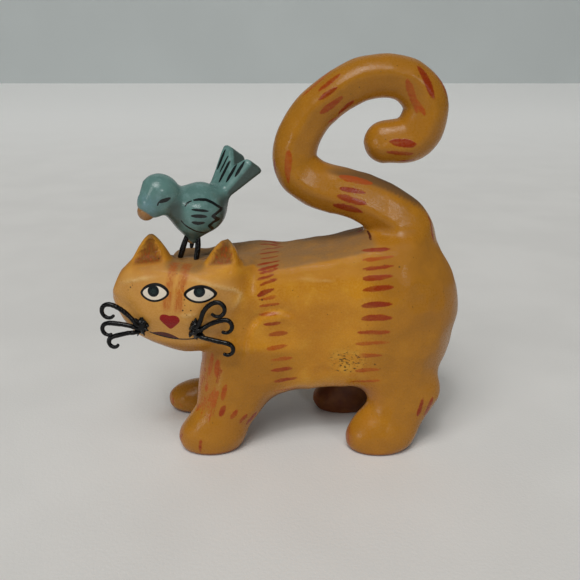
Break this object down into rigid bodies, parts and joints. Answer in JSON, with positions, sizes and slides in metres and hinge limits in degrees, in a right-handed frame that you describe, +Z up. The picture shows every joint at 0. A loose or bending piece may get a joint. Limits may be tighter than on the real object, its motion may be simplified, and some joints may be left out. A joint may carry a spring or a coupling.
{
  "type": "carved cat figurine",
  "caption": "Carved wooden cat standing on all fours with its tail curled over its back, wire whiskers, and a little bird on wire legs between its ears; shelf ornament.",
  "frame": {"origin": "middle of the figurine's bounding box in plan, at the level of the soles", "axes": "+Z up; the body lies along X with the head toward -X and the rump toward +X; the face is turned toward -Y"},
  "size_m": [0.126, 0.0514, 0.1396],
  "materials": {
    "cat_paint": "carved wood, ochre paint with orange dashes, clear gloss varnish",
    "bird_paint": "carved wood, blue-green paint, clear gloss varnish",
    "wire": "black coated wire, satin"
  },
  "bodies": {
    "root": {"cat_body": "cat_paint", "bird_body": "bird_paint", "bird_leg_left": "wire", "bird_leg_right": "wire", "bird_peg": "wire", "whisker_left_upper": "wire", "whisker_left_middle": "wire", "whisker_left_lower": "wire", "whisker_right_upper": "wire", "whisker_right_middle": "wire", "whisker_right_lower": "wire"}
  },
  "joints": []
}
